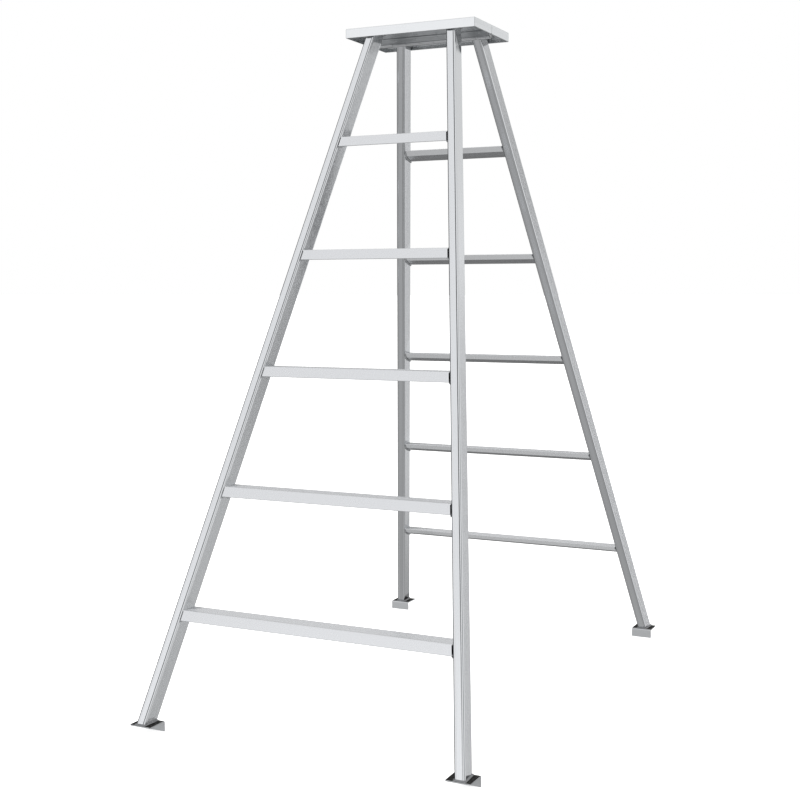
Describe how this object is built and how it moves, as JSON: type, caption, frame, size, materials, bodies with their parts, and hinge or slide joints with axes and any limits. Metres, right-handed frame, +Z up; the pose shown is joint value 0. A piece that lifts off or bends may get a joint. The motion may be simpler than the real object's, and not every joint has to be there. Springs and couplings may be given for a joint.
{
  "type": "orchard ladder",
  "caption": "Double-sided aluminium orchard ladder: splayed ribbed rails, level hollow treads, a folding platform hinged under its seam, and angle feet that bite into soil.",
  "frame": {"origin": "on the ground, midway between the feet", "axes": "+Z up; +X across the treads to the right as seen from the front; -Y is the front side, towards which the seam is offset by 4 mm"},
  "size_m": [0.912, 1.5228, 1.8],
  "materials": {
    "rail": "extruded, satin anodised",
    "tread": "extruded, satin anodised with grip grooves",
    "deck": "extruded plank, satin anodised with grip grooves",
    "deck_end": "brushed plate",
    "foot": "cut angle, scuffed",
    "weld": "bare weld bead",
    "hinge": "rolled leaf",
    "rivet": "domed rivet",
    "pin": "drawn stainless rod"
  },
  "bodies": {
    "front_frame": {"front_rail_left": "rail", "front_rail_right": "rail", "front_tread_1": "tread", "front_tread_2": "tread", "front_tread_3": "tread", "front_tread_4": "tread", "front_tread_5": "tread", "front_tread_welds": "weld", "front_foot_left": "foot", "front_foot_right": "foot", "front_foot_welds": "weld", "front_deck": "deck", "front_deck_end_plates": "deck_end", "front_deck_welds": "weld", "front_hinge_leaf": "hinge", "front_hinge_rivets": "rivet", "hinge_pin": "pin"},
    "rear_frame": {"rear_rail_left": "rail", "rear_rail_right": "rail", "rear_tread_1": "tread", "rear_tread_2": "tread", "rear_tread_3": "tread", "rear_tread_4": "tread", "rear_tread_5": "tread", "rear_tread_welds": "weld", "rear_foot_left": "foot", "rear_foot_right": "foot", "rear_foot_welds": "weld", "rear_deck": "deck", "rear_deck_end_plates": "deck_end", "rear_deck_welds": "weld", "rear_hinge_leaf": "hinge", "rear_hinge_rivets": "rivet"}
  },
  "joints": [
    {"name": "platform_hinge", "type": "hinge", "parent": "front_frame", "child": "rear_frame", "pos_m": [0, -0.004, 1.7689], "axis": [-1, 0, 0], "range_deg": [0, 43]}
  ]
}
